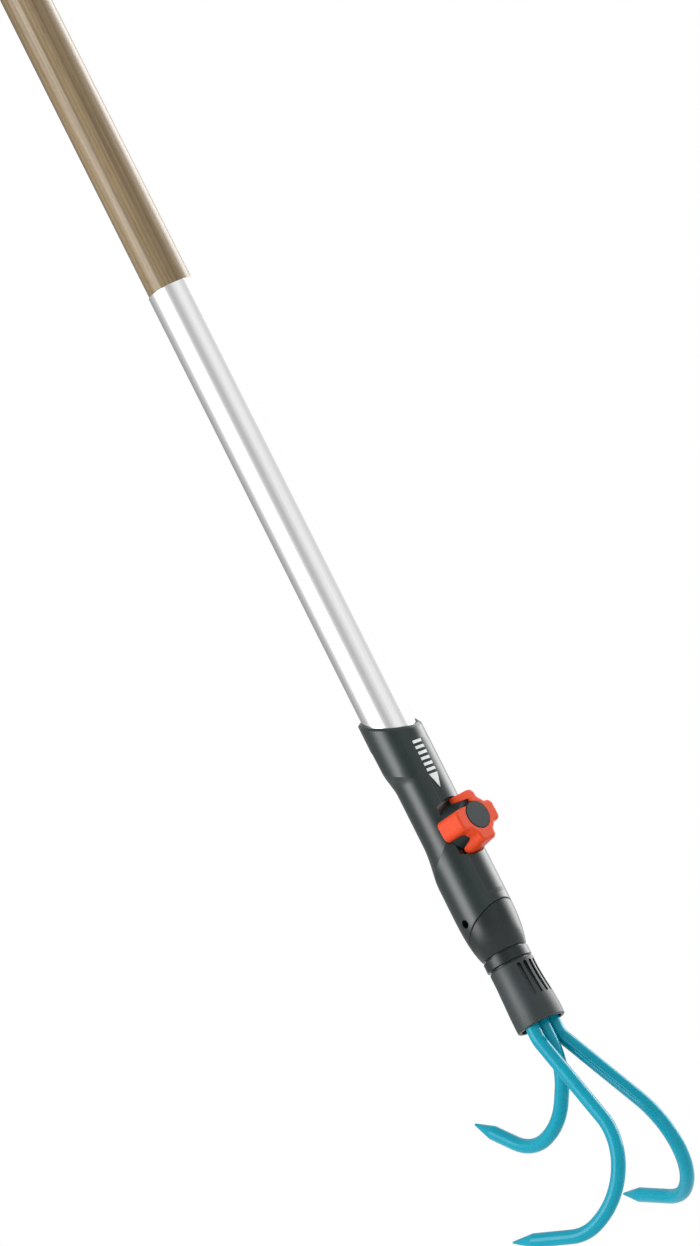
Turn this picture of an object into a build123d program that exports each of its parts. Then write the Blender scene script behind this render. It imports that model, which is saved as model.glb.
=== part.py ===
"""Long-handled three-tine cultivator with an interchangeable head, in millimetres.

+Z runs up the shaft towards the hanging eye, the clamp knob faces -Y and the tines
hook towards +Y.  The origin is the centre of the hanging hole.
"""
import os
from math import atan2, cos, hypot, radians, sin

from build123d import *

os.makedirs("parts", exist_ok=True)

# ---------------------------------------------------------------- driving sizes
handle_length = 1300.0  # top of the eye to the joint between coupling and head
fit_gap = 0.05  # clearance of parts pushed together inside one body
slide_gap = 0.3  # radial clearance of the plug in its socket
joint_gap = 0.25  # gap between the coupling and the head at the oblique joint
screw_gap = 0.10  # radial clearance of the clamp screw in its nut

# shaft
tube_radius = 13.0
tube_wall = 1.1
tube_rim_rounding = 0.5
tube_exposed_top = 380.6  # top of the tube, above the oblique joint
wood_radius = tube_radius - 0.6
wood_spigot = 110.0  # wood inside the tube
wood_bevel = 1.0
shaft_rivet_radius = 1.6
shaft_rivet_head = 3.6
shaft_rivet_dome = 1.4
shaft_rivet_rounding = 1.1
shaft_rivet_depth = 15.0
shaft_rivet_steps = (22.0, 78.0)  # below the top of the tube

# hanging eye
cap_radius = wood_radius + 1.4
cap_shoulder = 5.0
eye_radius = cap_radius
eye_thickness = 12.0
eye_rounding = 2.0
hang_hole_radius = 4.5
cap_skirt = 30.0  # length of wood that the cap covers
cap_neck = 13.0  # hanging hole to the end of the wood
cap_pin_radius = 1.5
cap_pin_proud = 0.2
pin_bevel = 0.3

# coupling sleeve
sleeve_radius = tube_radius + 2.8  # at the oblique joint
sleeve_top_radius = sleeve_radius - 0.35
sleeve_height = 120.8  # joint to rim, on the axis
rim_angle = 30.0
rim_bevel = 1.2
joint_angle = 30.0
joint_bevel = 0.4
tube_seat = sleeve_height - 24.8  # where the tube ends, above the joint
sleeve_spigot = 54.0  # hollow spigot of the sleeve inside the tube
sleeve_spigot_wall = 3.0
waist_depth = 1.45
waist_shift = 1.75  # the waist is turned about an axis this far towards the knob
waist_low, waist_high = 54.0, 83.0
waist_run_low, waist_run_high = 23.0, 15.0  # length of the slope at each end
waist_ease_low, waist_ease_high = 11.0, 17.0  # length over which each slope fades out
spine_width = 12.7
spine_rise = 0.35
spine_fade = 5.0
spine_low, spine_high = 10.0, 109.0
side_hole_radius = 2.35
side_hole_height = 5.0
side_hole_shift = 0.8  # towards the back
sleeve_rivet_height = sleeve_height - 12.8
sleeve_rivet_radius = 2.0
sleeve_rivet_head = 3.4
sleeve_rivet_dome = 1.3
sleeve_rivet_rounding = 1.0
sleeve_rivet_sink = 0.1

# plug and socket
plug_radius = 9.5
plug_length = 68.0
plug_bevel = 1.5
socket_float = 2.0  # space above the plug
plug_core_radius = 5.0
keyway_depth = 1.6
keyway_floor = plug_radius - keyway_depth  # distance of the flat from the axis
keyway_foot = 0.5  # the keyway starts this far below the pad
core_radius = 7.0  # moulding core above the socket
core_height = 18.0

# clamp, with levels from the shaft axis
knob_height = 52.6  # knob axis above the joint
seat_level = sleeve_radius - 3.1  # flat under the knob
seat_radius = 16.6
boss_radius = 7.5
boss_level = seat_level + 7.3
boss_bevel = 0.5
nut_radius = 5.4
nut_low = seat_level + 1.2
nut_high = boss_level - 0.2
nut_groove = 1.0
nut_groove_depth = 0.5
screw_radius = 3.95
screw_bevel = 0.8
head_flats = 13.0
head_low = boss_level + 1.6
pad_radius = 3.8
pad_thickness = 1.6
pad_gap = 0.2  # pad to the flat of the plug
pad_bevel = 0.3

# knob
knob_low = seat_level + 0.8  # foot of the lobes
plate_low = seat_level + 13.3
knob_face = plate_low + 2.6
knob_rest_angle = 2.0
lobe_foot_radius = 15.8
lobe_face_radius = 14.3
lobe_width = 12.0
lobe_rounding = 3.2
valley_rounding = 2.4
face_rounding = 1.7
arch_rounding = 2.0
web_radius = 11.2
lobe_count = 4
hub_low = seat_level + 0.8
hub_foot_radius = 13.1
hub_top_radius = 10.3
hub_cavity_radius = 8.2
hub_clearance = 0.4
cap_disc_radius = 7.9
cap_disc_rise = 0.35
cap_disc_bevel = 0.5

# head: collar, ring and ferrule (heights below the joint)
collar_end = 16.2
collar_end_radius = sleeve_radius - 3.15
groove = 1.2
ring_width = 5.4
ring_rounding = 0.3
ring_wall = 1.75
ring_radius = collar_end_radius + 0.1
spigot_radius = ring_radius - ring_wall
stub_radius = 8.0
stub_end = 36.0

# tines
rod_radius = 3.9
root_spacing = 2 * rod_radius + 0.1
root_shift = 1.8  # roots lie this far towards the knob side
root_top = 44.0  # outer roots start here, below the joint
tang_top = 30.0  # the middle rod runs up into the plug, above the joint
tine_pin_radius = 1.5
tine_pin_half = root_spacing + rod_radius / 2
tine_pin_height = 49.0
point_length = 13.0
point_radius = 0.6

# ferrule round the roots
ferrule_top_radius = ring_radius - 0.2
ferrule_end_radius = root_spacing + rod_radius + 1.7
ferrule_top_shift = 0.5
ferrule_end_shift = 1.1
ferrule_end = 58.9
ferrule_recess = 5.0
ferrule_lip = 1.9
ferrule_bevel = 0.4
ferrule_rounding = 0.6
flare_low, flare_high = 46.0, 34.0  # the ferrule widens between these
slot_width = 2.3
slot_depth = 2.4  # at the top
slot_foot_depth = 0.4  # at the lower end
slot_low, slot_high = 45.5, 26.0
slot_reach = 5.0
slot_angles = (-27.0, -9.0, 9.0, 27.0)

# ---------------------------------------------------------------- derived places
joint_z = eye_radius - handle_length
rim_z = joint_z + sleeve_height
tube_top = joint_z + tube_exposed_top
tube_end = joint_z + tube_seat
tube_bore = tube_radius - tube_wall
wood_top = -cap_neck
knob_z = joint_z + knob_height
socket_radius = plug_radius + slide_gap
socket_top = joint_z + plug_length + socket_float
collar_z = joint_z - collar_end
ring_top = collar_z - groove
ring_bottom = ring_top - ring_width
ferrule_top = ring_bottom - groove
ferrule_bottom = joint_z - ferrule_end
stub_bottom = joint_z - stub_end
head_high = plate_low
pad_low = keyway_floor + pad_gap
pad_high = pad_low + pad_thickness
across = 4 * sleeve_radius  # longer than anything that is cut across the shaft

rim_plane = Plane(origin=(0, 0, rim_z), z_dir=(0, -sin(radians(rim_angle)), cos(radians(rim_angle))))
joint_normal = Vector(0, sin(radians(joint_angle)), cos(radians(joint_angle)))
joint_plane = Plane(origin=(0, 0, joint_z), z_dir=joint_normal)
collar_plane = Plane(origin=Vector(0, 0, joint_z) - joint_normal * joint_gap, z_dir=joint_normal)


def facing_knob(level, height=knob_z):
    """Plane across the knob axis, `level` from the shaft axis, facing the knob side."""
    return Plane(origin=(0, -level, height), x_dir=(1, 0, 0), z_dir=(0, -1, 0))


def at_back(level, height):
    """Plane on the back of the shaft, facing +Y, `level` from the axis."""
    return Plane(origin=(0, level, height), x_dir=(-1, 0, 0), z_dir=(0, 1, 0))


def save(builder, name):
    builder.part.label = name
    export_step(builder.part, f"parts/{name}.step")


# ---------------------------------------------------------------- hanging eye
with BuildPart() as end_cap:
    with BuildSketch(Plane.XZ):
        Circle(eye_radius)
        with Locations((0, -cap_neck / 2)):
            Rectangle(2 * eye_radius, cap_neck)
    extrude(amount=eye_thickness / 2, both=True)
    eye_rims = edges().filter_by(lambda e: abs(abs(e.center().Y) - eye_thickness / 2) < fit_gap)
    fillet(eye_rims.filter_by(lambda e: e.center().Z > wood_top + eye_rounding), eye_rounding)
    with BuildSketch(Plane.XZ):
        with BuildLine():
            Polyline(
                (0, wood_top + cap_shoulder),
                (0, wood_top - cap_skirt),
                (cap_radius, wood_top - cap_skirt),
                (cap_radius, wood_top),
            )
            shoulder_end = (cap_radius - cap_shoulder, wood_top + cap_shoulder)
            RadiusArc((cap_radius, wood_top), shoulder_end, -cap_shoulder)
            Line(shoulder_end, (0, wood_top + cap_shoulder))
        make_face()
    revolve(axis=Axis.Z)
    with BuildSketch(Plane.XZ):
        Circle(hang_hole_radius)
    extrude(amount=eye_thickness, both=True, mode=Mode.SUBTRACT)
    with BuildSketch(Plane.XY.offset(wood_top - cap_skirt)):
        Circle(wood_radius)
    extrude(amount=cap_skirt, mode=Mode.SUBTRACT)
    with BuildSketch(Plane.YZ):
        with Locations((0, wood_top - cap_skirt / 2)):
            Circle(cap_pin_radius)
    extrude(amount=across, both=True, mode=Mode.SUBTRACT)
save(end_cap, "end_cap")

with BuildPart() as cap_pin:
    with BuildSketch(Plane.YZ):
        with Locations((0, wood_top - cap_skirt / 2)):
            Circle(cap_pin_radius)
    extrude(amount=cap_radius + cap_pin_proud, both=True)
    chamfer(edges().filter_by(GeomType.CIRCLE), pin_bevel)
save(cap_pin, "cap_pin")

# ---------------------------------------------------------------- shaft
with BuildPart() as wood_shaft:
    with BuildSketch(Plane.XY.offset(tube_top)):
        Circle(wood_radius)
    extrude(amount=wood_top - tube_top)
    chamfer(edges().filter_by(GeomType.CIRCLE).group_by(Axis.Z)[-1], wood_bevel)
    with BuildSketch(Plane.XY.offset(tube_top - wood_spigot)):
        Circle(tube_bore - fit_gap)
    extrude(amount=wood_spigot)
    chamfer(edges().filter_by(GeomType.CIRCLE).group_by(Axis.Z)[0], wood_bevel)
    with BuildSketch(Plane.YZ):
        with Locations((0, wood_top - cap_skirt / 2)):
            Circle(cap_pin_radius)
    extrude(amount=across, both=True, mode=Mode.SUBTRACT)
    for step in shaft_rivet_steps:
        with BuildSketch(at_back(tube_radius, tube_top - step)):
            Circle(shaft_rivet_radius)
        extrude(amount=-shaft_rivet_depth, mode=Mode.SUBTRACT)
save(wood_shaft, "wood_shaft")

with BuildPart() as aluminium_tube:
    with BuildSketch(Plane.XY.offset(tube_end)):
        Circle(tube_radius)
        Circle(tube_bore, mode=Mode.SUBTRACT)
    extrude(amount=tube_top - tube_end)
    top_rims = edges().filter_by(GeomType.CIRCLE).group_by(Axis.Z)[-1]
    fillet(top_rims.sort_by(SortBy.RADIUS)[-1], tube_rim_rounding)
    for step in shaft_rivet_steps:
        with BuildSketch(at_back(tube_radius, tube_top - step)):
            Circle(shaft_rivet_radius)
        extrude(amount=-2 * tube_wall, both=True, mode=Mode.SUBTRACT)
    with BuildSketch(at_back(tube_radius, joint_z + sleeve_rivet_height)):
        Circle(sleeve_rivet_radius)
    extrude(amount=-2 * tube_wall, both=True, mode=Mode.SUBTRACT)
save(aluminium_tube, "aluminium_tube")

with BuildPart() as shaft_rivets:
    for step in shaft_rivet_steps:
        with BuildSketch(at_back(tube_radius, tube_top - step)):
            Circle(shaft_rivet_radius)
        extrude(amount=-shaft_rivet_depth)
        with BuildSketch(at_back(tube_radius, tube_top - step)):
            Circle(shaft_rivet_head)
        extrude(amount=shaft_rivet_dome)
    fillet(edges().filter_by(GeomType.CIRCLE).group_by(Axis.Y)[-1], shaft_rivet_rounding)
save(shaft_rivets, "shaft_rivets")

# ---------------------------------------------------------------- coupling sleeve
# shared outline of the sleeve's foot and the head's collar, as (radius, height above the joint)
flank = [
    (sleeve_radius, collar_end),
    (sleeve_radius + 0.1, 0),
    (sleeve_radius - 0.5, -collar_end / 2),
    (collar_end_radius, -collar_end),
]

with BuildPart() as spine:
    with BuildSketch(facing_knob(0, joint_z)):
        with BuildLine():
            Polyline(
                (0, spine_low),
                (sleeve_radius - spine_rise, spine_low),
                (sleeve_radius + spine_rise, spine_low + spine_fade),
                (sleeve_top_radius + spine_rise, spine_high - spine_fade),
                (sleeve_top_radius - spine_rise, spine_high),
                (0, spine_high),
                close=True,
            )
        make_face()
    revolve(axis=Axis.Z)
    with BuildSketch(Plane.XY.offset(joint_z)):
        with Locations((0, -sleeve_radius)):
            Rectangle(spine_width, sleeve_radius)
    extrude(amount=sleeve_height, mode=Mode.INTERSECT)

with BuildPart() as coupling_housing:
    with BuildSketch(facing_knob(0, joint_z)):
        with BuildLine():
            Bezier(*flank)
            Polyline(
                flank[0],
                (sleeve_top_radius, sleeve_height),
                (sleeve_top_radius, sleeve_height + sleeve_radius),
                (0, sleeve_height + sleeve_radius),
                (0, -collar_end),
                flank[-1],
            )
        make_face()
    revolve(axis=Axis.Z)
    split(bisect_by=rim_plane, keep=Keep.BOTTOM)
    split(bisect_by=joint_plane, keep=Keep.TOP)
    chamfer(faces().sort_by(Axis.Z)[-1].edges(), rim_bevel)
    chamfer(faces().sort_by(Axis.Z)[0].edges(), joint_bevel)

    # finger waist, deepest at the back, whose slopes fade out slowly
    waist_radius = sleeve_radius - waist_depth
    edge_radius = sleeve_radius + waist_shift
    low_end = (sleeve_radius + 1.1, waist_low - waist_run_low)
    high_end = (sleeve_radius + 0.5, waist_high + waist_run_high)
    with BuildSketch(facing_knob(waist_shift, joint_z)):
        with BuildLine():
            Bezier(
                low_end,
                (low_end[0] - 0.3, low_end[1] + 0.28 * waist_run_low),
                (waist_radius, waist_low - 0.46 * waist_run_low),
                (waist_radius, waist_low),
            )
            Line((waist_radius, waist_low), (waist_radius, waist_high))
            Bezier(
                (waist_radius, waist_high),
                (waist_radius, waist_high + 0.33 * waist_run_high),
                (high_end[0] - 0.1, high_end[1] - 0.33 * waist_run_high),
                high_end,
            )
            Polyline(
                high_end,
                (high_end[0] + 0.15, high_end[1] + 0.65 * waist_ease_high),
                (edge_radius, high_end[1] + waist_ease_high),
                (2 * sleeve_radius, high_end[1] + waist_ease_high),
                (2 * sleeve_radius, low_end[1] - waist_ease_low),
                (edge_radius, low_end[1] - waist_ease_low),
                low_end,
            )
        make_face()
    revolve(axis=Axis((0, -waist_shift, 0), (0, 0, 1)), mode=Mode.SUBTRACT)

    # raised spine, flat seat and threaded boss on the knob side
    add(spine.part)
    with BuildSketch(facing_knob(seat_level)):
        Circle(seat_radius)
    extrude(amount=sleeve_radius, mode=Mode.SUBTRACT)
    with BuildSketch(facing_knob(plug_radius)):
        Circle(boss_radius)
    extrude(amount=boss_level - plug_radius)
    chamfer(edges().filter_by(GeomType.CIRCLE).sort_by(Axis.Y)[0], boss_bevel)

    # socket for the plug, with a moulding core above it
    with BuildSketch(Plane.XY.offset(joint_z - sleeve_radius)):
        Circle(socket_radius)
    extrude(amount=sleeve_radius + plug_length + socket_float, mode=Mode.SUBTRACT)
    with BuildSketch(Plane.XY.offset(socket_top)):
        Circle(core_radius)
    extrude(amount=core_height, mode=Mode.SUBTRACT)
    with BuildSketch(facing_knob(0)):
        Circle(pad_radius + slide_gap)
    extrude(amount=nut_low, mode=Mode.SUBTRACT)
    with BuildSketch(facing_knob(nut_low)):
        Circle(nut_radius)
    extrude(amount=boss_level, mode=Mode.SUBTRACT)

    # seat of the tube, with a hollow spigot up inside it
    with BuildSketch(Plane.XY.offset(tube_end)):
        Circle(tube_radius + fit_gap)
    extrude(amount=across, mode=Mode.SUBTRACT)
    with BuildSketch(Plane.XY.offset(tube_end)):
        Circle(tube_bore - fit_gap)
        Circle(tube_bore - fit_gap - sleeve_spigot_wall, mode=Mode.SUBTRACT)
    extrude(amount=sleeve_spigot)

    # cross hole near the joint, and the rivet hole at the back
    with BuildSketch(Plane.YZ):
        with Locations((side_hole_shift, joint_z + side_hole_height)):
            Circle(side_hole_radius)
    extrude(amount=across, both=True, mode=Mode.SUBTRACT)
    with BuildSketch(at_back(tube_bore - sleeve_spigot_wall - fit_gap, joint_z + sleeve_rivet_height)):
        Circle(sleeve_rivet_radius)
    extrude(amount=across, mode=Mode.SUBTRACT)
save(coupling_housing, "coupling_housing")

rivet_seat = sleeve_top_radius + sleeve_rivet_sink
with BuildPart() as sleeve_rivet:
    with BuildSketch(at_back(rivet_seat, joint_z + sleeve_rivet_height)):
        Circle(sleeve_rivet_radius)
    extrude(amount=tube_bore - sleeve_spigot_wall - rivet_seat)
    with BuildSketch(at_back(rivet_seat, joint_z + sleeve_rivet_height)):
        Circle(sleeve_rivet_head)
    extrude(amount=sleeve_rivet_dome)
    fillet(edges().filter_by(GeomType.CIRCLE).group_by(Axis.Y)[-1], sleeve_rivet_rounding)
save(sleeve_rivet, "sleeve_rivet")

# ---------------------------------------------------------------- clamp
with BuildPart() as clamp_nut:
    with BuildSketch(facing_knob(nut_low)):
        Circle(nut_radius)
        Circle(screw_radius + screw_gap, mode=Mode.SUBTRACT)
    extrude(amount=nut_high - nut_low)
    with BuildSketch(facing_knob((nut_low + nut_high - nut_groove) / 2)):
        Circle(nut_radius)
        Circle(nut_radius - nut_groove_depth, mode=Mode.SUBTRACT)
    extrude(amount=nut_groove, mode=Mode.SUBTRACT)
save(clamp_nut, "clamp_nut")

with BuildPart() as clamp_screw:
    with BuildSketch(facing_knob(pad_high)):
        Circle(screw_radius)
    extrude(amount=head_low - pad_high)
    chamfer(edges().filter_by(GeomType.CIRCLE).group_by(Axis.Y)[-1], screw_bevel)
    with BuildSketch(facing_knob(head_low)):
        RegularPolygon(head_flats / 2, 6, major_radius=False)
    extrude(amount=head_high - head_low)
save(clamp_screw, "clamp_screw")

with BuildPart() as pressure_pad:
    with BuildSketch(facing_knob(pad_low)):
        Circle(pad_radius)
    extrude(amount=pad_thickness)
    chamfer(edges().filter_by(GeomType.CIRCLE).group_by(Axis.Y)[-1], pad_bevel)
save(pressure_pad, "pressure_pad")


# ---------------------------------------------------------------- knob
def lobed_outline(level, reach):
    """Lobes on a round web at `level`, reaching `reach` from the axis, with rounded corners and valleys."""
    with BuildSketch(facing_knob(level)) as outline:
        with PolarLocations(0, lobe_count // 2, start_angle=knob_rest_angle, angular_range=180):
            RectangleRounded(2 * reach, lobe_width, lobe_rounding)
        Circle(web_radius)
        valleys = outline.vertices().filter_by(lambda v: abs(hypot(v.X, v.Y) - web_radius) < fit_gap)
        fillet(valleys, valley_rounding)
    return outline.sketch


with BuildPart() as knob_shell:
    foot_outline = lobed_outline(knob_low, lobe_foot_radius)
    face_outline = lobed_outline(knob_face, lobe_face_radius)
    loft([foot_outline.face(), face_outline.face()])
    fillet(faces().sort_by(Axis.Y)[0].edges(), face_rounding)
    # open between the lobes, with rounded arches under the web
    for corner in range(lobe_count):
        angle = knob_rest_angle + 360 * corner / lobe_count
        with BuildPart(mode=Mode.PRIVATE) as arch:
            with BuildSketch(facing_knob(0).rotated((0, 0, angle))):
                with Locations((lobe_width / 2 + across / 2, lobe_width / 2 + across / 2)):
                    Rectangle(across, across)
            extrude(amount=plate_low)
            crown = arch.faces().sort_by(Axis.Y)[0].edges()
            fillet(crown, arch_rounding)
        add(arch.part, mode=Mode.SUBTRACT)
    with BuildSketch(facing_knob(hub_low)):
        Circle(hub_foot_radius)
    with BuildSketch(facing_knob(plate_low)):
        Circle(hub_top_radius)
    loft(mode=Mode.SUBTRACT)
    with BuildSketch(facing_knob(plate_low)):
        Circle(cap_disc_radius)
    extrude(amount=knob_face, mode=Mode.SUBTRACT)
save(knob_shell, "knob_shell")

with BuildPart() as knob_core:
    with BuildSketch(facing_knob(hub_low)):
        Circle(hub_foot_radius)
    with BuildSketch(facing_knob(plate_low)):
        Circle(hub_top_radius)
    loft()
    with BuildSketch(facing_knob(hub_low)):
        Circle(hub_cavity_radius)
    extrude(amount=boss_level + hub_clearance - hub_low, mode=Mode.SUBTRACT)
    with BuildSketch(facing_knob(hub_low)):
        Circle(screw_radius)
    extrude(amount=plate_low - hub_low, mode=Mode.SUBTRACT)
    with BuildSketch(facing_knob(head_low)):
        RegularPolygon(head_flats / 2, 6, major_radius=False)
    extrude(amount=plate_low - head_low, mode=Mode.SUBTRACT)
save(knob_core, "knob_core")

with BuildPart() as knob_cap:
    with BuildSketch(facing_knob(plate_low)):
        Circle(cap_disc_radius - fit_gap)
    extrude(amount=knob_face + cap_disc_rise - plate_low)
    chamfer(edges().filter_by(GeomType.CIRCLE).group_by(Axis.Y)[0], cap_disc_bevel)
save(knob_cap, "knob_cap")

# ---------------------------------------------------------------- head: plug, ring and ferrule
with BuildPart() as adapter_plug:
    with BuildSketch(facing_knob(0, joint_z)):
        with BuildLine():
            Bezier(*flank)
            Polyline(flank[-1], (0, -collar_end), (0, collar_end), flank[0])
        make_face()
    revolve(axis=Axis.Z)
    split(bisect_by=collar_plane, keep=Keep.BOTTOM)
    chamfer(faces().sort_by(Axis.Z)[-1].edges(), joint_bevel)
    with BuildSketch(Plane.XY.offset(collar_z)):
        Circle(plug_radius)
    extrude(amount=collar_end + plug_length)
    chamfer(edges().filter_by(GeomType.CIRCLE).group_by(Axis.Z)[-1], plug_bevel)
    with BuildSketch(Plane.XY.offset(ferrule_top)):
        Circle(spigot_radius)
    extrude(amount=collar_z - ferrule_top)
    with BuildSketch(Plane.XY.offset(stub_bottom)):
        Circle(stub_radius)
    extrude(amount=ferrule_top - stub_bottom)
    with BuildSketch(Plane.XY.offset(joint_z + tang_top)):
        Circle(plug_core_radius)
    extrude(amount=plug_length, mode=Mode.SUBTRACT)
    with BuildSketch(Plane.XY.offset(stub_bottom)):
        with Locations((0, -root_shift)):
            Circle(rod_radius)
    extrude(amount=stub_end + tang_top, mode=Mode.SUBTRACT)
    # keyway that the pressure pad runs in, open at the top of the plug
    with BuildSketch(Plane.XY.offset(knob_z - pad_radius - keyway_foot)):
        with Locations((0, -keyway_floor - plug_radius / 2)):
            Rectangle(2 * (pad_radius + slide_gap), plug_radius)
    extrude(amount=plug_length, mode=Mode.SUBTRACT)
save(adapter_plug, "adapter_plug")

with BuildPart() as neck_ring:
    with BuildSketch(Plane.XY.offset(ring_bottom)):
        Circle(ring_radius)
        Circle(spigot_radius, mode=Mode.SUBTRACT)
    extrude(amount=ring_width)
    outer_rims = edges().filter_by(GeomType.CIRCLE).filter_by(lambda e: e.radius > spigot_radius + fit_gap)
    fillet(outer_rims, ring_rounding)
save(neck_ring, "neck_ring")

root_places = [(-root_spacing, -root_shift), (0, -root_shift), (root_spacing, -root_shift)]
# radius, shift towards the knob side and height of the ferrule's sections
ferrule_sections = [
    (ferrule_end_radius, ferrule_end_shift, ferrule_bottom),
    (ferrule_end_radius - 0.15, ferrule_end_shift - 0.1, joint_z - flare_low),
    (ferrule_top_radius + 0.05, ferrule_top_shift, joint_z - flare_high),
    (ferrule_top_radius, ferrule_top_shift, ferrule_top),
]

with BuildPart() as tine_ferrule:
    for radius, shift, height in ferrule_sections:
        with BuildSketch(Plane.XY.offset(height)):
            with Locations((0, -shift)):
                Circle(radius)
    loft()
    chamfer(edges().group_by(Axis.Z)[-1], ferrule_bevel)
    fillet(edges().group_by(Axis.Z)[0], ferrule_rounding)
    with BuildSketch(Plane.XY.offset(ferrule_bottom)):
        with Locations((0, -ferrule_end_shift)):
            Circle(ferrule_end_radius - ferrule_lip)
    extrude(amount=ferrule_recess, mode=Mode.SUBTRACT)
    with BuildSketch(Plane.XY.offset(stub_bottom)):
        Circle(stub_radius)
    extrude(amount=ferrule_top - stub_bottom, mode=Mode.SUBTRACT)
    with BuildSketch(Plane.XY.offset(ferrule_bottom)):
        with Locations(*root_places):
            Circle(rod_radius)
    extrude(amount=ferrule_end - root_top, mode=Mode.SUBTRACT)
    with BuildSketch(Plane.XY.offset(ferrule_bottom)):
        with Locations((0, -root_shift)):
            Circle(rod_radius)
    extrude(amount=ferrule_end - stub_end, mode=Mode.SUBTRACT)
    with BuildSketch(Plane.YZ):
        with Locations((-root_shift, joint_z - tine_pin_height)):
            Circle(tine_pin_radius)
    extrude(amount=tine_pin_half, both=True, mode=Mode.SUBTRACT)
    # grip slots on the knob side, each deepest at its top
    slot_length = slot_low - slot_high
    slot_middle = Vector(0, -ferrule_top_shift, joint_z - (slot_low + slot_high) / 2)
    slot_rise = slot_depth - slot_foot_depth + ferrule_end_radius - ferrule_top_radius
    lean = atan2(slot_rise, slot_length)
    for angle in slot_angles:
        outward = Vector(sin(radians(angle)), -cos(radians(angle)), 0)
        slot_plane = Plane(
            origin=slot_middle + outward * (ferrule_top_radius - slot_depth + slot_rise / 2),
            x_dir=Vector(0, 0, cos(lean)) - outward * sin(lean),
            z_dir=outward * cos(lean) + Vector(0, 0, sin(lean)),
        )
        with BuildSketch(slot_plane):
            SlotOverall(slot_length, slot_width)
        extrude(amount=slot_reach, mode=Mode.SUBTRACT)
save(tine_ferrule, "tine_ferrule")


# ---------------------------------------------------------------- tines
def tine(route, radii):
    """Round rod along straight runs joined by arcs, whose last run ends in a forged point."""
    last, before = Vector(route[-1]), Vector(route[-2])
    heading = (last - before).normalized()
    point_foot = last - heading * point_length
    with BuildPart() as rod:
        with BuildLine() as path:
            FilletPolyline(*route[:-1], tuple(point_foot), radius=radii)
        with BuildSketch(Plane(origin=route[0], z_dir=path.line % 0)):
            Circle(rod_radius)
        sweep(path=path.line)
        foot = Plane(origin=point_foot, z_dir=heading)
        with BuildSketch(foot):
            Circle(rod_radius)
        with BuildSketch(foot.offset(point_length)):
            Circle(point_radius)
        loft()
        with BuildSketch(Plane.YZ):
            with Locations((-root_shift, joint_z - tine_pin_height)):
                Circle(tine_pin_radius)
        extrude(amount=tine_pin_half, both=True, mode=Mode.SUBTRACT)
    return rod


# corners of each rod below its root: sideways, forwards, below the joint; and the bends between them
root_drop = root_top + point_length + 2 * rod_radius + 2
left_root = (-root_spacing, -root_shift, root_drop)
left_corners = [left_root, (-22.3, -43.3, 157.6), (-34.4, 4.2, 172.6), (-44.4, 45.8, 155.2)]
left_bends = [11.0, 36.5, 27.0]
right_root = (root_spacing, -root_shift, root_drop)
right_corners = [right_root, (18.9, -45.3, 156.8), (40.4, 3.7, 169.2), (44.7, 45.7, 149.0)]
right_bends = [11.0, 37.0, 26.7]
middle_corners = [(0, -root_shift, 83.5), (0, 19.1, 107.3), (0, 45.9, 113.1), (0, 76.5, 82.2)]
middle_bends = [36.0, 34.8, 26.5]

for name, corners, bends, top in (
    ("tine_left", left_corners, left_bends, -root_top),
    ("tine_middle", middle_corners, middle_bends, tang_top),
    ("tine_right", right_corners, right_bends, -root_top),
):
    route = [(corners[0][0], corners[0][1], joint_z + top)]
    route += [(x, y, joint_z - depth) for x, y, depth in corners]
    save(tine(route, bends), name)

with BuildPart() as tine_pin:
    with BuildSketch(Plane.YZ):
        with Locations((-root_shift, joint_z - tine_pin_height)):
            Circle(tine_pin_radius)
    extrude(amount=tine_pin_half, both=True)
save(tine_pin, "tine_pin")
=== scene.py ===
"""Studio scene of a long-handled cultivator with an interchangeable three-tine head."""
from __future__ import annotations

import logging
import math
from collections.abc import Sequence
from dataclasses import dataclass, field
from enum import Enum

import bmesh
import bpy
from bpy.types import Material, Node, NodeSocket, Object
from mathutils import Matrix, Vector


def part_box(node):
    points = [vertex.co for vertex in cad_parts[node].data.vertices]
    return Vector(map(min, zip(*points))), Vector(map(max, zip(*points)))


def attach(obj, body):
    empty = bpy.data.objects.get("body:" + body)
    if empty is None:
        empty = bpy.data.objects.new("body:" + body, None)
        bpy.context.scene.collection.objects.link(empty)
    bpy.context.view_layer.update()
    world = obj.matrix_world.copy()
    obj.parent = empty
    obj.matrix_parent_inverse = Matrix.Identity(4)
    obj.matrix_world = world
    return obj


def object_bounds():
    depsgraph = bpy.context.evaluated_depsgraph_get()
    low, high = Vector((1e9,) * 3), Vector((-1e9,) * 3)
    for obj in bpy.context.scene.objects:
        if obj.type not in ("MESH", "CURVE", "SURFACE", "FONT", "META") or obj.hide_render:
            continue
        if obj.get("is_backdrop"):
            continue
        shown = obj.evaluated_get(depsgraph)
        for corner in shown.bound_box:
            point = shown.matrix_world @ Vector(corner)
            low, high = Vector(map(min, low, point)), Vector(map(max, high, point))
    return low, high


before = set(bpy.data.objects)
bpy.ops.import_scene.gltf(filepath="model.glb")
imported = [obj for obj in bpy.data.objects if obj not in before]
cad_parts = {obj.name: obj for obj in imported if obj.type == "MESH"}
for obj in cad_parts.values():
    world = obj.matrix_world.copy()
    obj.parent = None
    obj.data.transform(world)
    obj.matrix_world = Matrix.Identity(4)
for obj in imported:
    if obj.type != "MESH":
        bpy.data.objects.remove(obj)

log = logging.getLogger("cultivator")
MM = 0.001
PLUG_LENGTH = 68.0 * MM  # the plug's top above the joint
DARK_GREEN = (0.006, 0.0135, 0.0135)
Colour = tuple[float, float, float]
Paint = NodeSocket | Colour
MIX_COLOURS = (6, 7)  # the colour inputs of a mix node
MIXED = 2  # its colour output


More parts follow.
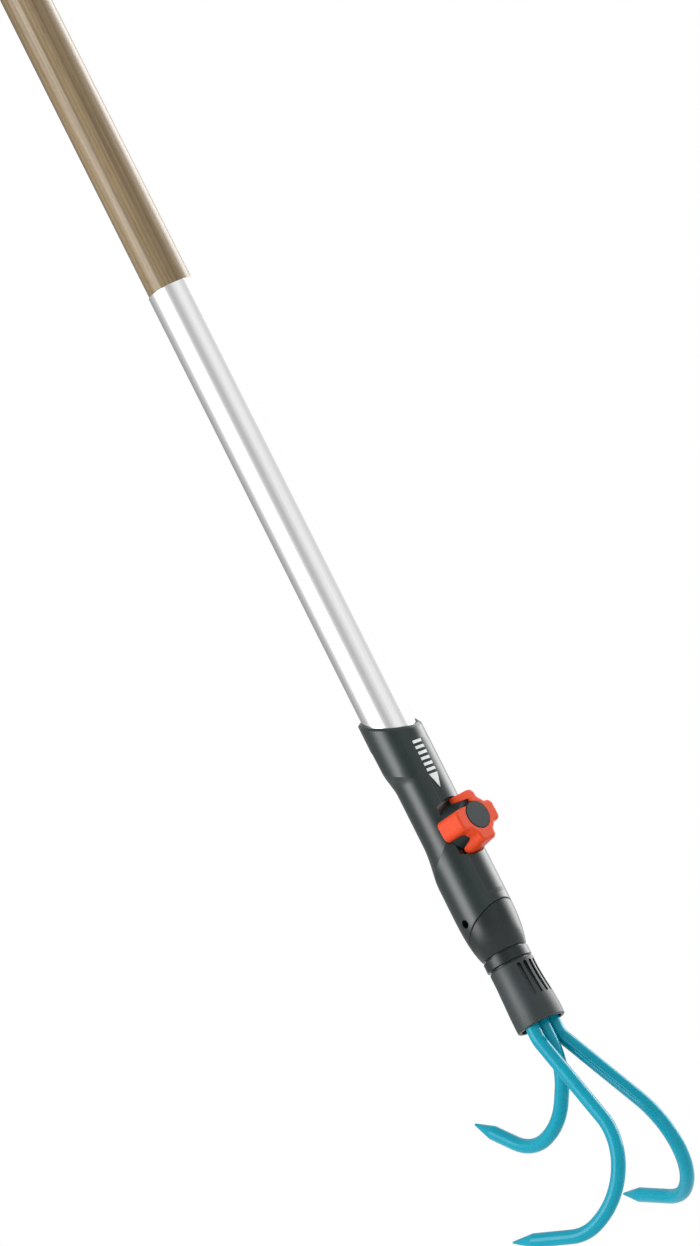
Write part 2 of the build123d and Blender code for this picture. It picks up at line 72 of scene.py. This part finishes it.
def fill_ramp(node: Node, stops: Sequence[tuple[float, Colour]]) -> None:
    """Put stops into a colour ramp, from its start to its end.

    Args:
        node: The ramp's node.
        stops: Places from 0 to 1 in rising order, each with its colour.
    """
    elements = node.color_ramp.elements
    elements.remove(elements[-1])
    elements[0].position = stops[0][0]
    elements[0].color = (*stops[0][1], 1.0)
    for place, colour in stops[1:]:
        elements.new(place).color = (*colour, 1.0)


def set_range(node: Node, low: float, high: float, to_low: float = 0.0, to_high: float = 1.0) -> None:
    """Set what a range node takes in and what it gives out.

    Args:
        node: The range node.
        low: Where the range starts.
        high: Where the range ends.
        to_low: The result at the start.
        to_high: The result at the end.
    """
    names = ("From Min", "From Max", "To Min", "To Max")
    for name, number in zip(names, (low, high, to_low, to_high)):
        node.inputs[name].default_value = number


# ------------------------------------------------------------------ node graphs
class MixKind(Enum):
    """Ways to put one colour over another."""

    BLEND = "MIX"
    MULTIPLY = "MULTIPLY"


class Graph:
    """A material's node graph, with short calls for what the finishes need."""

    def __init__(self, name: str) -> None:
        """Make an empty material with a Principled surface.

        Args:
            name: The material's name.
        """
        self.material: Material = bpy.data.materials.new(name)
        self.material.use_nodes = True
        self.tree = self.material.node_tree
        self.tree.nodes.clear()
        self.surface = self.tree.nodes.new("ShaderNodeBsdfPrincipled")
        output = self.tree.nodes.new("ShaderNodeOutputMaterial")
        self.tree.links.new(self.surface.outputs["BSDF"], output.inputs["Surface"])
        self.place = self.tree.nodes.new("ShaderNodeTexCoord").outputs["Object"]

    def link(self, source: NodeSocket, node: Node, socket: str | int) -> None:
        """Join an output socket to a node's input."""
        self.tree.links.new(source, node.inputs[socket])

    def constants(self, **values: float | Colour) -> None:
        """Set the surface's own sockets; underscores in the names stand for spaces.

        Args:
            **values: Socket names and values, such as Coat_Weight=1.0.
        """
        for name, value in values.items():
            if isinstance(value, tuple):
                value = (*value, 1.0) if len(value) == 3 else value
            self.surface.inputs[name.replace("_", " ")].default_value = value

    def stretched(self, across: float, along: float) -> NodeSocket:
        """Coordinates for grain that runs along the shaft.

        Args:
            across: Cells for each metre across the shaft.
            along: Cells for each metre along the shaft.

        Returns:
            The scaled coordinates.
        """
        mapping = self.tree.nodes.new("ShaderNodeMapping")
        mapping.inputs["Scale"].default_value = (across, across, along)
        self.link(self.place, mapping, "Vector")
        return mapping.outputs["Vector"]

    def noise(self, vector: NodeSocket, scale: float = 1.0, detail: float = 2.0,
              warp: float = 0.0) -> NodeSocket:
        """A grey noise.

        Args:
            vector: Coordinates.
            scale: Cells for each unit of the coordinates.
            detail: Octaves of the noise.
            warp: Distortion of the noise.

        Returns:
            The noise's value.
        """
        node = self.tree.nodes.new("ShaderNodeTexNoise")
        node.inputs["Scale"].default_value = scale
        node.inputs["Detail"].default_value = detail
        node.inputs["Distortion"].default_value = warp
        self.link(vector, node, "Vector")
        return node.outputs[0]

    def ramp(self, value: NodeSocket, *stops: tuple[float, Colour]) -> NodeSocket:
        """Turn a value into a colour through stops.

        Args:
            value: What chooses the colour.
            *stops: Places from 0 to 1, each with its colour.

        Returns:
            The colour.
        """
        node = self.tree.nodes.new("ShaderNodeValToRGB")
        fill_ramp(node, stops)
        self.link(value, node, "Fac")
        return node.outputs["Color"]

    def band(self, value: NodeSocket, low: float, high: float, to_low: float = 0.0,
             to_high: float = 1.0) -> NodeSocket:
        """Stretch part of a value's range, clamped at both ends.

        Args:
            value: The value.
            low: Where the range starts.
            high: Where the range ends.
            to_low: The result at the start.
            to_high: The result at the end.

        Returns:
            The stretched value.
        """
        node = self.tree.nodes.new("ShaderNodeMapRange")
        set_range(node, low, high, to_low, to_high)
        self.link(value, node, "Value")
        return node.outputs["Result"]

    def multiply(self, colour: NodeSocket, shade: NodeSocket, strength: float = 1.0) -> NodeSocket:
        """Darken a colour with a grey.

        Args:
            colour: The colour.
            shade: The grey.
            strength: How much of the grey is felt, from 0 to 1.

        Returns:
            The darkened colour.
        """
        node = self.mixer(MixKind.MULTIPLY, colour, shade)
        node.inputs["Factor"].default_value = strength
        return node.outputs[MIXED]

    def blend(self, factor: NodeSocket, first: Paint, second: Paint) -> NodeSocket:
        """Go from one colour to another.

        Args:
            factor: 0 gives the first colour and 1 the second.
            first: A colour or a socket.
            second: A colour or a socket.

        Returns:
            The mixed colour.
        """
        node = self.mixer(MixKind.BLEND, first, second)
        self.link(factor, node, "Factor")
        return node.outputs[MIXED]

    def mixer(self, kind: MixKind, first: Paint, second: Paint) -> Node:
        """A colour mix whose factor is still to be set.

        Args:
            kind: How the second colour goes over the first.
            first: A colour or a socket.
            second: A colour or a socket.

        Returns:
            The mix node.
        """
        node = self.tree.nodes.new("ShaderNodeMix")
        node.data_type = "RGBA"
        node.blend_type = kind.value
        for place, what in zip(MIX_COLOURS, (first, second)):
            if isinstance(what, tuple):
                node.inputs[place].default_value = (*what, 1.0)
            else:
                self.link(what, node, place)
        return node

    def bump(self, height: NodeSocket, strength: float, depth_mm: float,
             under: NodeSocket | None = None) -> NodeSocket:
        """Relief from a height.

        Args:
            height: The height, from 0 to 1.
            strength: How much of it is felt.
            depth_mm: The relief's depth in millimetres.
            under: A coarser relief below this one.

        Returns:
            The bent normal.
        """
        node = self.tree.nodes.new("ShaderNodeBump")
        node.inputs["Strength"].default_value = strength
        node.inputs["Distance"].default_value = depth_mm * MM
        self.link(height, node, "Height")
        if under is not None:
            self.link(under, node, "Normal")
        return node.outputs["Normal"]

    def dress(self, colour: NodeSocket | None = None, roughness: NodeSocket | None = None,
              normal: NodeSocket | None = None) -> Material:
        """Join what varies over the surface.

        Args:
            colour: The base colour.
            roughness: The roughness.
            normal: The relief.

        Returns:
            The finished material.
        """
        for socket, name in ((colour, "Base Color"), (roughness, "Roughness"), (normal, "Normal")):
            if socket is not None:
                self.link(socket, self.surface, name)
        return self.material


# ------------------------------------------------------------------ finishes
@dataclass(frozen=True)
class VarnishedWood:
    """Brown stained wood under a clear varnish, grain along the shaft."""

    pale: Colour = (0.262, 0.195, 0.112)
    middle: Colour = (0.205, 0.146, 0.072)
    dark: Colour = (0.128, 0.085, 0.038)

    def make(self) -> Material:
        """Build the material."""
        graph = Graph("varnished_wood")
        rings = graph.noise(graph.stretched(230.0, 3.2), detail=3.0, warp=0.6)
        streaks = graph.noise(graph.stretched(900.0, 9.0), detail=4.0, warp=0.3)
        pores = graph.noise(graph.stretched(2600.0, 95.0), detail=2.0)
        cloud = graph.noise(graph.stretched(26.0, 5.0), detail=2.0)
        colour = graph.ramp(rings, (0.30, self.dark), (0.46, self.middle), (0.68, self.pale))
        streak_shade = graph.ramp(streaks, (0.32, (0.62, 0.58, 0.54)), (0.62, (1.08, 1.08, 1.08)))
        cloud_shade = graph.ramp(cloud, (0.3, (0.86, 0.85, 0.83)), (0.7, (1.05, 1.05, 1.05)))
        for shade in (streak_shade, cloud_shade):
            colour = graph.multiply(colour, shade, 0.8)
        dashes = graph.band(pores, 0.62, 0.70)
        colour = graph.blend(graph.band(dashes, 0.0, 1.0, 0.0, 0.65), colour, (0.07, 0.045, 0.025))
        graph.constants(Coat_Weight=0.45, Coat_Roughness=0.08, Coat_IOR=1.5)
        graph.constants(IOR=1.45, Specular_IOR_Level=0.3)
        relief = graph.bump(streaks, 0.25, 0.05)
        relief = graph.bump(dashes, 0.35, -0.04, relief)
        return graph.dress(colour, graph.band(streaks, 0.3, 0.7, 0.52, 0.40), relief)


@dataclass(frozen=True)
class SatinTube:
    """Drawn light metal tube with a satin anodised skin."""

    tint: Colour = (0.85, 0.855, 0.85)

    def make(self) -> Material:
        """Build the material."""
        graph = Graph("satin_tube")
        lines = graph.noise(graph.stretched(3200.0, 14.0), detail=3.0)
        breadth = graph.noise(graph.stretched(420.0, 4.0), detail=2.0)
        specks = graph.noise(graph.stretched(1500.0, 1500.0), detail=2.0)
        shade = graph.ramp(lines, (0.3, (0.93, 0.93, 0.93)), (0.7, (1.0, 1.0, 1.0)))
        base = graph.ramp(breadth, (0.3, tuple(0.97 * c for c in self.tint)), (0.7, self.tint))
        graph.constants(Metallic=1.0)
        relief = graph.bump(lines, 0.06, 0.02)
        relief = graph.bump(specks, 0.03, 0.01, relief)
        return graph.dress(graph.multiply(base, shade), graph.band(lines, 0.3, 0.7, 0.20, 0.14), relief)


@dataclass(frozen=True)
class MouldedPlastic:
    """Injection-moulded plastic with a fine eroded texture."""

    name: str
    tint: Colour
    roughness: float = 0.30
    texture: float = 0.12
    grain: float = 3800.0
    mottle: float = 0.12
    specular: float = 0.5

    def make(self) -> Material:
        """Build the material."""
        graph = Graph(self.name)
        even = graph.stretched(1.0, 1.0)
        fine = graph.noise(even, scale=self.grain, detail=2.0)
        cloud = graph.noise(even, scale=55.0, detail=3.0)
        flow = graph.noise(graph.stretched(150.0, 18.0), detail=2.0, warp=0.8)
        low = tuple(c * (1.0 - self.mottle) for c in self.tint)
        high = tuple(min(1.0, c * (1.0 + self.mottle)) for c in self.tint)
        colour = graph.ramp(cloud, (0.3, low), (0.7, high))
        colour = graph.multiply(colour, graph.ramp(flow, (0.35, (0.92, 0.92, 0.92)), (0.65, (1.0, 1.0, 1.0))))
        rough = graph.band(flow, 0.3, 0.7, self.roughness - 0.035, self.roughness + 0.035)
        graph.constants(IOR=1.49, Specular_IOR_Level=self.specular)
        return graph.dress(colour, rough, graph.bump(fine, self.texture, 0.03))


@dataclass(frozen=True)
class Enamel:
    """Glossy coloured enamel, slightly uneven in depth and gloss."""

    tint: Colour = (0.0, 0.255, 0.350)
    shade: Colour = (0.0, 0.235, 0.325)

    def make(self) -> Material:
        """Build the material."""
        graph = Graph("tine_enamel")
        even = graph.stretched(1.0, 1.0)
        cloud = graph.noise(even, scale=60.0, detail=3.0)
        colour = graph.ramp(cloud, (0.3, self.shade), (0.7, self.tint))
        graph.constants(IOR=1.5, Specular_IOR_Level=0.2)
        return graph.dress(colour, graph.band(cloud, 0.3, 0.7, 0.10, 0.14))


@dataclass(frozen=True)
class TurnedMetal:
    """Machined or plated metal for the fasteners."""

    name: str
    tint: Colour
    roughness: float = 0.32

    def make(self) -> Material:
        """Build the material."""
        graph = Graph(self.name)
        even = graph.stretched(1.0, 1.0)
        fine = graph.noise(even, scale=2600.0, detail=3.0)
        cloud = graph.noise(even, scale=240.0, detail=2.0)
        dull = tuple(0.82 * c for c in self.tint)
        graph.constants(Metallic=1.0)
        return graph.dress(graph.ramp(cloud, (0.3, dull), (0.7, self.tint)),
                           graph.band(fine, 0.3, 0.7, self.roughness - 0.06, self.roughness + 0.08),
                           graph.bump(fine, 0.12, 0.02))


@dataclass(frozen=True)
class PrintInk:
    """Pale pad-printed ink with slight thin spots."""

    tint: Colour = (0.66, 0.70, 0.69)

    def make(self) -> Material:
        """Build the material."""
        graph = Graph("print_ink")
        thin = graph.noise(graph.stretched(1.0, 1.0), scale=1600.0, detail=3.0)
        faded = tuple(0.75 * c for c in self.tint)
        return graph.dress(graph.ramp(thin, (0.30, faded), (0.5, self.tint)),
                           graph.band(thin, 0.3, 0.7, 0.5, 0.38),
                           graph.bump(thin, 0.1, 0.01))


# ------------------------------------------------------------------ helpers
def dress(node: str, material: Material) -> Object:
    """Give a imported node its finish.

    Args:
        node: The node's name.
        material: The finish.

    Returns:
        The node's object.
    """
    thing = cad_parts[node]
    thing.data.materials.clear()
    thing.data.materials.append(material)
    log.info("%s wears %s", node, material.name)
    return thing


def joint_height() -> float:
    """Height of the joint between the sleeve and the head, on the axis."""
    _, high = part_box("adapter_plug")
    return high.z - PLUG_LENGTH


# ------------------------------------------------------------------ sub-assemblies
@dataclass
class Handle:
    """Wooden shaft in its metal tube, with the hanging cap on top."""

    def build(self) -> None:
        """Dress the shaft's pieces."""
        dress("wood_shaft", VarnishedWood().make())
        dress("aluminium_tube", SatinTube().make())
        dress("end_cap", MouldedPlastic("cap_plastic", DARK_GREEN).make())
        steel = TurnedMetal("plated_steel", (0.62, 0.62, 0.60)).make()
        for node in ("cap_pin", "shaft_rivets", "sleeve_rivet", "clamp_screw", "tine_pin"):
            dress(node, steel)


@dataclass
class Coupling:
    """Dark sleeve that joins the tube and the head."""

    def build(self) -> None:
        """Dress the sleeve."""
        sleeve = MouldedPlastic("sleeve_plastic", DARK_GREEN, roughness=0.24)
        dress("coupling_housing", sleeve.make())
        PrintedMark().build(joint_height())
        dress("clamp_nut", TurnedMetal("nut_brass", (0.72, 0.52, 0.24)).make())


@dataclass
class PrintedMark:
    """Pale mark printed down the sleeve's spine: a column of bars over an arrow.

    Attributes:
        reach_high: Distance of the ink from the shaft's axis, at the top of the mark.
        reach_low: The same at its foot, as the spine widens downwards.
        turn: Degrees from the knob side to the middle of the mark.
        top: Height of the mark's top above the joint.
        width: Width of the bars and of the arrow.
        bar_height: Height of one bar.
        bar_pitch: Step from bar to bar.
        arrow_height: Height of the arrow.
        bars: How many bars there are.
        cuts: How finely each outline is divided, so that it bends round the shaft.
        ink: The finish.
    """

    reach_high: float = 15.85 * MM
    reach_low: float = 15.97 * MM
    turn: float = -10.0
    top: float = 104.0 * MM
    width: float = 5.6 * MM
    bar_height: float = 1.7 * MM
    bar_pitch: float = 3.3 * MM
    arrow_height: float = 8.5 * MM
    bars: int = 6
    cuts: int = 4
    ink: PrintInk = field(default_factory=PrintInk)

    def outlines(self) -> list[list[tuple[float, float]]]:
        """Flat outlines of the mark.

        Returns:
            One list of (sideways, down) pairs for each bar and for the arrow, from the mark's top.
        """
        half = self.width / 2
        marks = []
        for row in range(self.bars):
            high = row * self.bar_pitch
            low = high + self.bar_height
            marks.append([(-half, high), (half, high), (half, low), (-half, low)])
        foot = self.bars * self.bar_pitch
        arrow = [(-half, foot), (half, foot), (0.0, foot + self.arrow_height)]
        return marks + [arrow]

    def build(self, joint: float) -> Object:
        """Wrap the outlines round the shaft just over the spine.

        Args:
            joint: Height of the joint between sleeve and head.

        Returns:
            The mark's object.
        """
        work = bmesh.new()
        for outline in self.outlines():
            face = work.faces.new([work.verts.new((x, 0.0, -down)) for x, down in outline])
            bmesh.ops.subdivide_edges(work, edges=list(face.edges), cuts=self.cuts, use_grid_fill=True)
        bmesh.ops.triangulate(work, faces=list(work.faces))
        middle = math.radians(self.turn)
        length = self.bars * self.bar_pitch + self.arrow_height
        for vert in work.verts:
            reach = self.reach_high - (self.reach_low - self.reach_high) * vert.co.z / length
            angle = middle + vert.co.x / reach
            height = joint + self.top + vert.co.z
            vert.co = Vector((reach * math.sin(angle), -reach * math.cos(angle), height))
        bmesh.ops.recalc_face_normals(work, faces=list(work.faces))
        mesh = bpy.data.meshes.new("printed_mark")
        work.to_mesh(mesh)
        work.free()
        mark = bpy.data.objects.new("printed_mark", mesh)
        bpy.context.scene.collection.objects.link(mark)
        mesh.materials.append(self.ink.make())
        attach(mark, "root")
        log.info("printed_mark: %d faces", len(mesh.polygons))
        return mark


@dataclass
class Clamp:
    """Lobed knob that holds the plug in the sleeve."""

    def build(self) -> None:
        """Dress the knob's pieces."""
        orange = MouldedPlastic("knob_orange", (0.60, 0.052, 0.011), roughness=0.42, texture=0.05,
                                grain=2400.0, mottle=0.03, specular=0.2)
        dress("knob_shell", orange.make())
        dark = MouldedPlastic("knob_dark", (0.008, 0.014, 0.014), roughness=0.42, specular=0.25).make()
        dress("knob_core", dark)
        dress("knob_cap", dark)
        dress("pressure_pad", MouldedPlastic("pad_plastic", (0.02, 0.02, 0.02)).make())


@dataclass
class Head:
    """Plug, ring, ferrule and the three tines."""

    def build(self) -> None:
        """Dress the head's pieces."""
        glossy = MouldedPlastic("collar_plastic", (0.003, 0.008, 0.008), roughness=0.26, specular=0.4).make()
        dress("adapter_plug", glossy)
        dress("neck_ring", glossy)
        ferrule = MouldedPlastic("ferrule_plastic", (0.013, 0.021, 0.023), roughness=0.42, texture=0.3,
                                 grain=2600.0)
        dress("tine_ferrule", ferrule.make())
        enamel = Enamel().make()
        for node in ("tine_left", "tine_middle", "tine_right"):
            dress(node, enamel)


# ------------------------------------------------------------------ studio
@dataclass
class Studio:
    """Camera, light and floor, with lengths in metres and angles in degrees."""

    distance: float = 12.0
    azimuth: float = -45.0
    elevation: float = -10.0
    roll: float = 26.66
    picture_height: float = 0.6545
    aim_above_joint: float = 0.1775
    aim_aside: float = 0.0053
    sensor: float = 36.0
    floor_drop: float = 0.35
    floor_half: float = 30.0
    floor_tint: Colour = (0.85, 0.85, 0.85)
    floor_roughness: float = 0.9
    panel_reach: tuple[float, float] = (0.45, 0.8)
    sky: float = 0.75

    def axes(self) -> tuple[Vector, Vector, Vector]:
        """Right, up and backward directions of the unrolled camera."""
        turn, lift = math.radians(self.azimuth), math.radians(self.elevation)
        right = Vector((math.cos(turn), math.sin(turn), 0.0))
        back = Vector((math.sin(turn) * math.cos(lift), -math.cos(turn) * math.cos(lift), math.sin(lift)))
        return right, back.cross(right), back

    def camera(self) -> None:
        """Place the long-lens camera, rolled so that the tool lies across the picture."""
        right, up, back = self.axes()
        roll = math.radians(self.roll)
        rolled_right = right * math.cos(roll) - up * math.sin(roll)
        rolled_up = right * math.sin(roll) + up * math.cos(roll)
        aim = Vector((0.0, 0.0, joint_height() + self.aim_above_joint)) + right * self.aim_aside
        data = bpy.data.cameras.new("camera")
        data.sensor_width = self.sensor
        data.lens = self.sensor * self.distance / self.picture_height
        data.clip_end = 100.0
        camera = bpy.data.objects.new("camera", data)
        bpy.context.scene.collection.objects.link(camera)
        turn = Matrix((rolled_right, rolled_up, back)).transposed().to_4x4()
        camera.matrix_world = Matrix.Translation(aim + back * self.distance) @ turn
        bpy.context.scene.camera = camera

    def light(self) -> None:
        """Surround the tool with soft panels, as a smooth ring of brightness round the shaft."""
        world = bpy.data.worlds.new("studio")
        bpy.context.scene.world = world
        world.use_nodes = True
        tree = world.node_tree
        tree.nodes.clear()
        place = tree.nodes.new("ShaderNodeTexCoord")
        split = tree.nodes.new("ShaderNodeSeparateXYZ")
        tree.links.new(place.outputs["Generated"], split.inputs[0])
        angle = tree.nodes.new("ShaderNodeMath")
        angle.operation = "ARCTAN2"
        right, _, _ = self.axes()
        front = Vector((right.y, -right.x, 0.0))
        for which, axis in ((0, right), (1, front)):
            dot = tree.nodes.new("ShaderNodeVectorMath")
            dot.operation = "DOT_PRODUCT"
            dot.inputs[1].default_value = axis
            tree.links.new(place.outputs["Generated"], dot.inputs[0])
            tree.links.new(dot.outputs["Value"], angle.inputs[which])
        share = tree.nodes.new("ShaderNodeMapRange")
        set_range(share, -math.pi, math.pi)
        tree.links.new(angle.outputs[0], share.inputs["Value"])
        ramp = tree.nodes.new("ShaderNodeValToRGB")
        ramp.color_ramp.interpolation = "B_SPLINE"
        top = max(level for _, level in self.panels())
        fill_ramp(ramp, [((angle + 180.0) / 360.0, 3 * (level / top,)) for angle, level in self.panels()])
        tree.links.new(share.outputs["Result"], ramp.inputs["Fac"])
        height = tree.nodes.new("ShaderNodeMath")
        height.operation = "ABSOLUTE"
        tree.links.new(split.outputs["Z"], height.inputs[0])
        near_level = tree.nodes.new("ShaderNodeMapRange")
        near_level.interpolation_type = "SMOOTHSTEP"
        set_range(near_level, *self.panel_reach)
        tree.links.new(height.outputs[0], near_level.inputs["Value"])
        fade = tree.nodes.new("ShaderNodeMix")
        fade.data_type = "RGBA"
        fade.inputs[MIX_COLOURS[1]].default_value = (*(3 * (self.sky / top,)), 1.0)
        tree.links.new(near_level.outputs["Result"], fade.inputs["Factor"])
        tree.links.new(ramp.outputs["Color"], fade.inputs[MIX_COLOURS[0]])
        ring = tree.nodes.new("ShaderNodeBackground")
        ring.inputs["Strength"].default_value = top
        tree.links.new(fade.outputs[MIXED], ring.inputs["Color"])
        backdrop = tree.nodes.new("ShaderNodeBackground")
        backdrop.inputs["Color"].default_value = (1.0, 1.0, 1.0, 1.0)
        path = tree.nodes.new("ShaderNodeLightPath")
        mix = tree.nodes.new("ShaderNodeMixShader")
        out = tree.nodes.new("ShaderNodeOutputWorld")
        tree.links.new(path.outputs["Is Camera Ray"], mix.inputs[0])
        tree.links.new(ring.outputs[0], mix.inputs[1])
        tree.links.new(backdrop.outputs[0], mix.inputs[2])
        tree.links.new(mix.outputs[0], out.inputs["Surface"])

    def panels(self) -> list[tuple[float, float]]:
        """Brightness round the shaft: degrees to the right of the camera, and level."""
        return [(-180, 0.42), (-150, 0.40), (-124, 0.50), (-106, 0.68), (-93, 0.95), (-84, 1.9),
                (-74, 4.2), (-60, 7.6), (-48, 6.6), (-38, 2.6), (-28, 0.95), (-14, 0.52),
                (2, 0.56), (16, 0.88), (36, 1.12), (56, 0.86), (68, 0.74), (80, 0.84),
                (92, 1.7), (104, 5.6), (120, 8.2), (136, 5.6), (150, 1.8), (166, 0.6), (180, 0.42)]

    def floor(self) -> None:
        """A plain pale floor under the hanging tool, seen only from above."""
        low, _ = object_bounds()
        mesh = bpy.data.meshes.new("floor")
        half = self.floor_half
        corners = [(-half, -half, 0.0), (half, -half, 0.0), (half, half, 0.0), (-half, half, 0.0)]
        mesh.from_pydata(corners, [], [(0, 1, 2, 3)])
        floor = bpy.data.objects.new("floor", mesh)
        floor.location.z = low.z - self.floor_drop
        bpy.context.scene.collection.objects.link(floor)
        material = bpy.data.materials.new("floor")
        material.use_nodes = True
        tree = material.node_tree
        surface = tree.nodes["Principled BSDF"]
        surface.inputs["Base Color"].default_value = (*self.floor_tint, 1.0)
        surface.inputs["Roughness"].default_value = self.floor_roughness
        clear = tree.nodes.new("ShaderNodeBsdfTransparent")
        side = tree.nodes.new("ShaderNodeNewGeometry")
        mix = tree.nodes.new("ShaderNodeMixShader")
        tree.links.new(side.outputs["Backfacing"], mix.inputs[0])
        tree.links.new(surface.outputs[0], mix.inputs[1])
        tree.links.new(clear.outputs[0], mix.inputs[2])
        tree.links.new(mix.outputs[0], tree.nodes["Material Output"].inputs["Surface"])
        mesh.materials.append(material)
        floor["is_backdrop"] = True

    def build(self) -> None:
        """Set up the whole studio."""
        bpy.context.scene.view_settings.view_transform = "Standard"
        self.camera()
        self.light()
        self.floor()


def main() -> None:
    """Build the studio and the tool."""
    logging.basicConfig(level=logging.INFO)
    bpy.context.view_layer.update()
    Studio().build()
    for part in (Handle(), Coupling(), Clamp(), Head()):
        part.build()
        log.info("%s finished", type(part).__name__)


if __name__ == "__main__":
    main()
